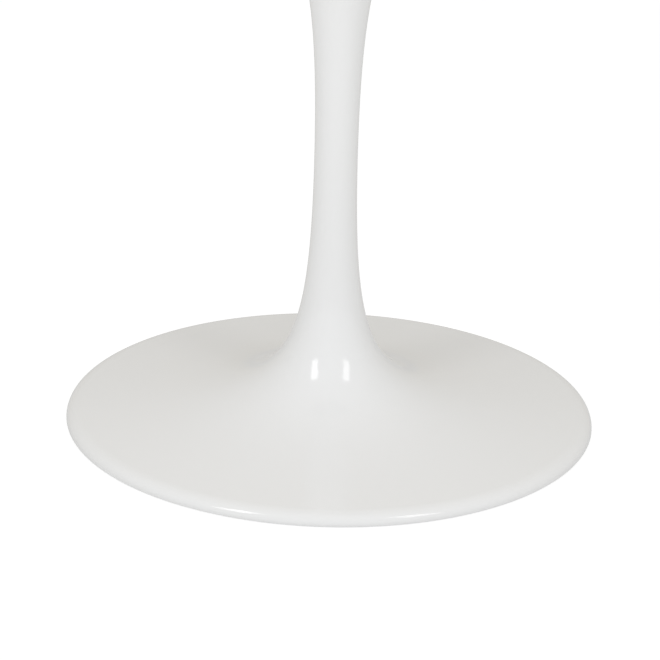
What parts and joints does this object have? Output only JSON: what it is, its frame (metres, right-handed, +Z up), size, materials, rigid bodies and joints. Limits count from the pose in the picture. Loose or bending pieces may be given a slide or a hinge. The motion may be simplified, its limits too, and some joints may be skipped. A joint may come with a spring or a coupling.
{
  "type": "tulip table base",
  "caption": "White pedestal table base: a broad round foot sweeps up into a slim waisted stem that flares to a round plate for the table top.",
  "frame": {"origin": "on the floor, at the stem's axis", "axes": "+Z up along the stem; +X and +Y are level, and pads and screws start on +X"},
  "size_m": [0.6799, 0.68, 0.706],
  "materials": {
    "white_enamel": "gloss white enamel on cast aluminium",
    "zinc_plate": "bright zinc-plated steel",
    "zinc_screw": "bright zinc-plated steel",
    "felt": "grey wool felt"
  },
  "bodies": {
    "root": {"pedestal": "white_enamel", "mounting_plate": "zinc_plate", "plate_screws": "zinc_screw", "floor_pads": "felt"}
  },
  "joints": []
}
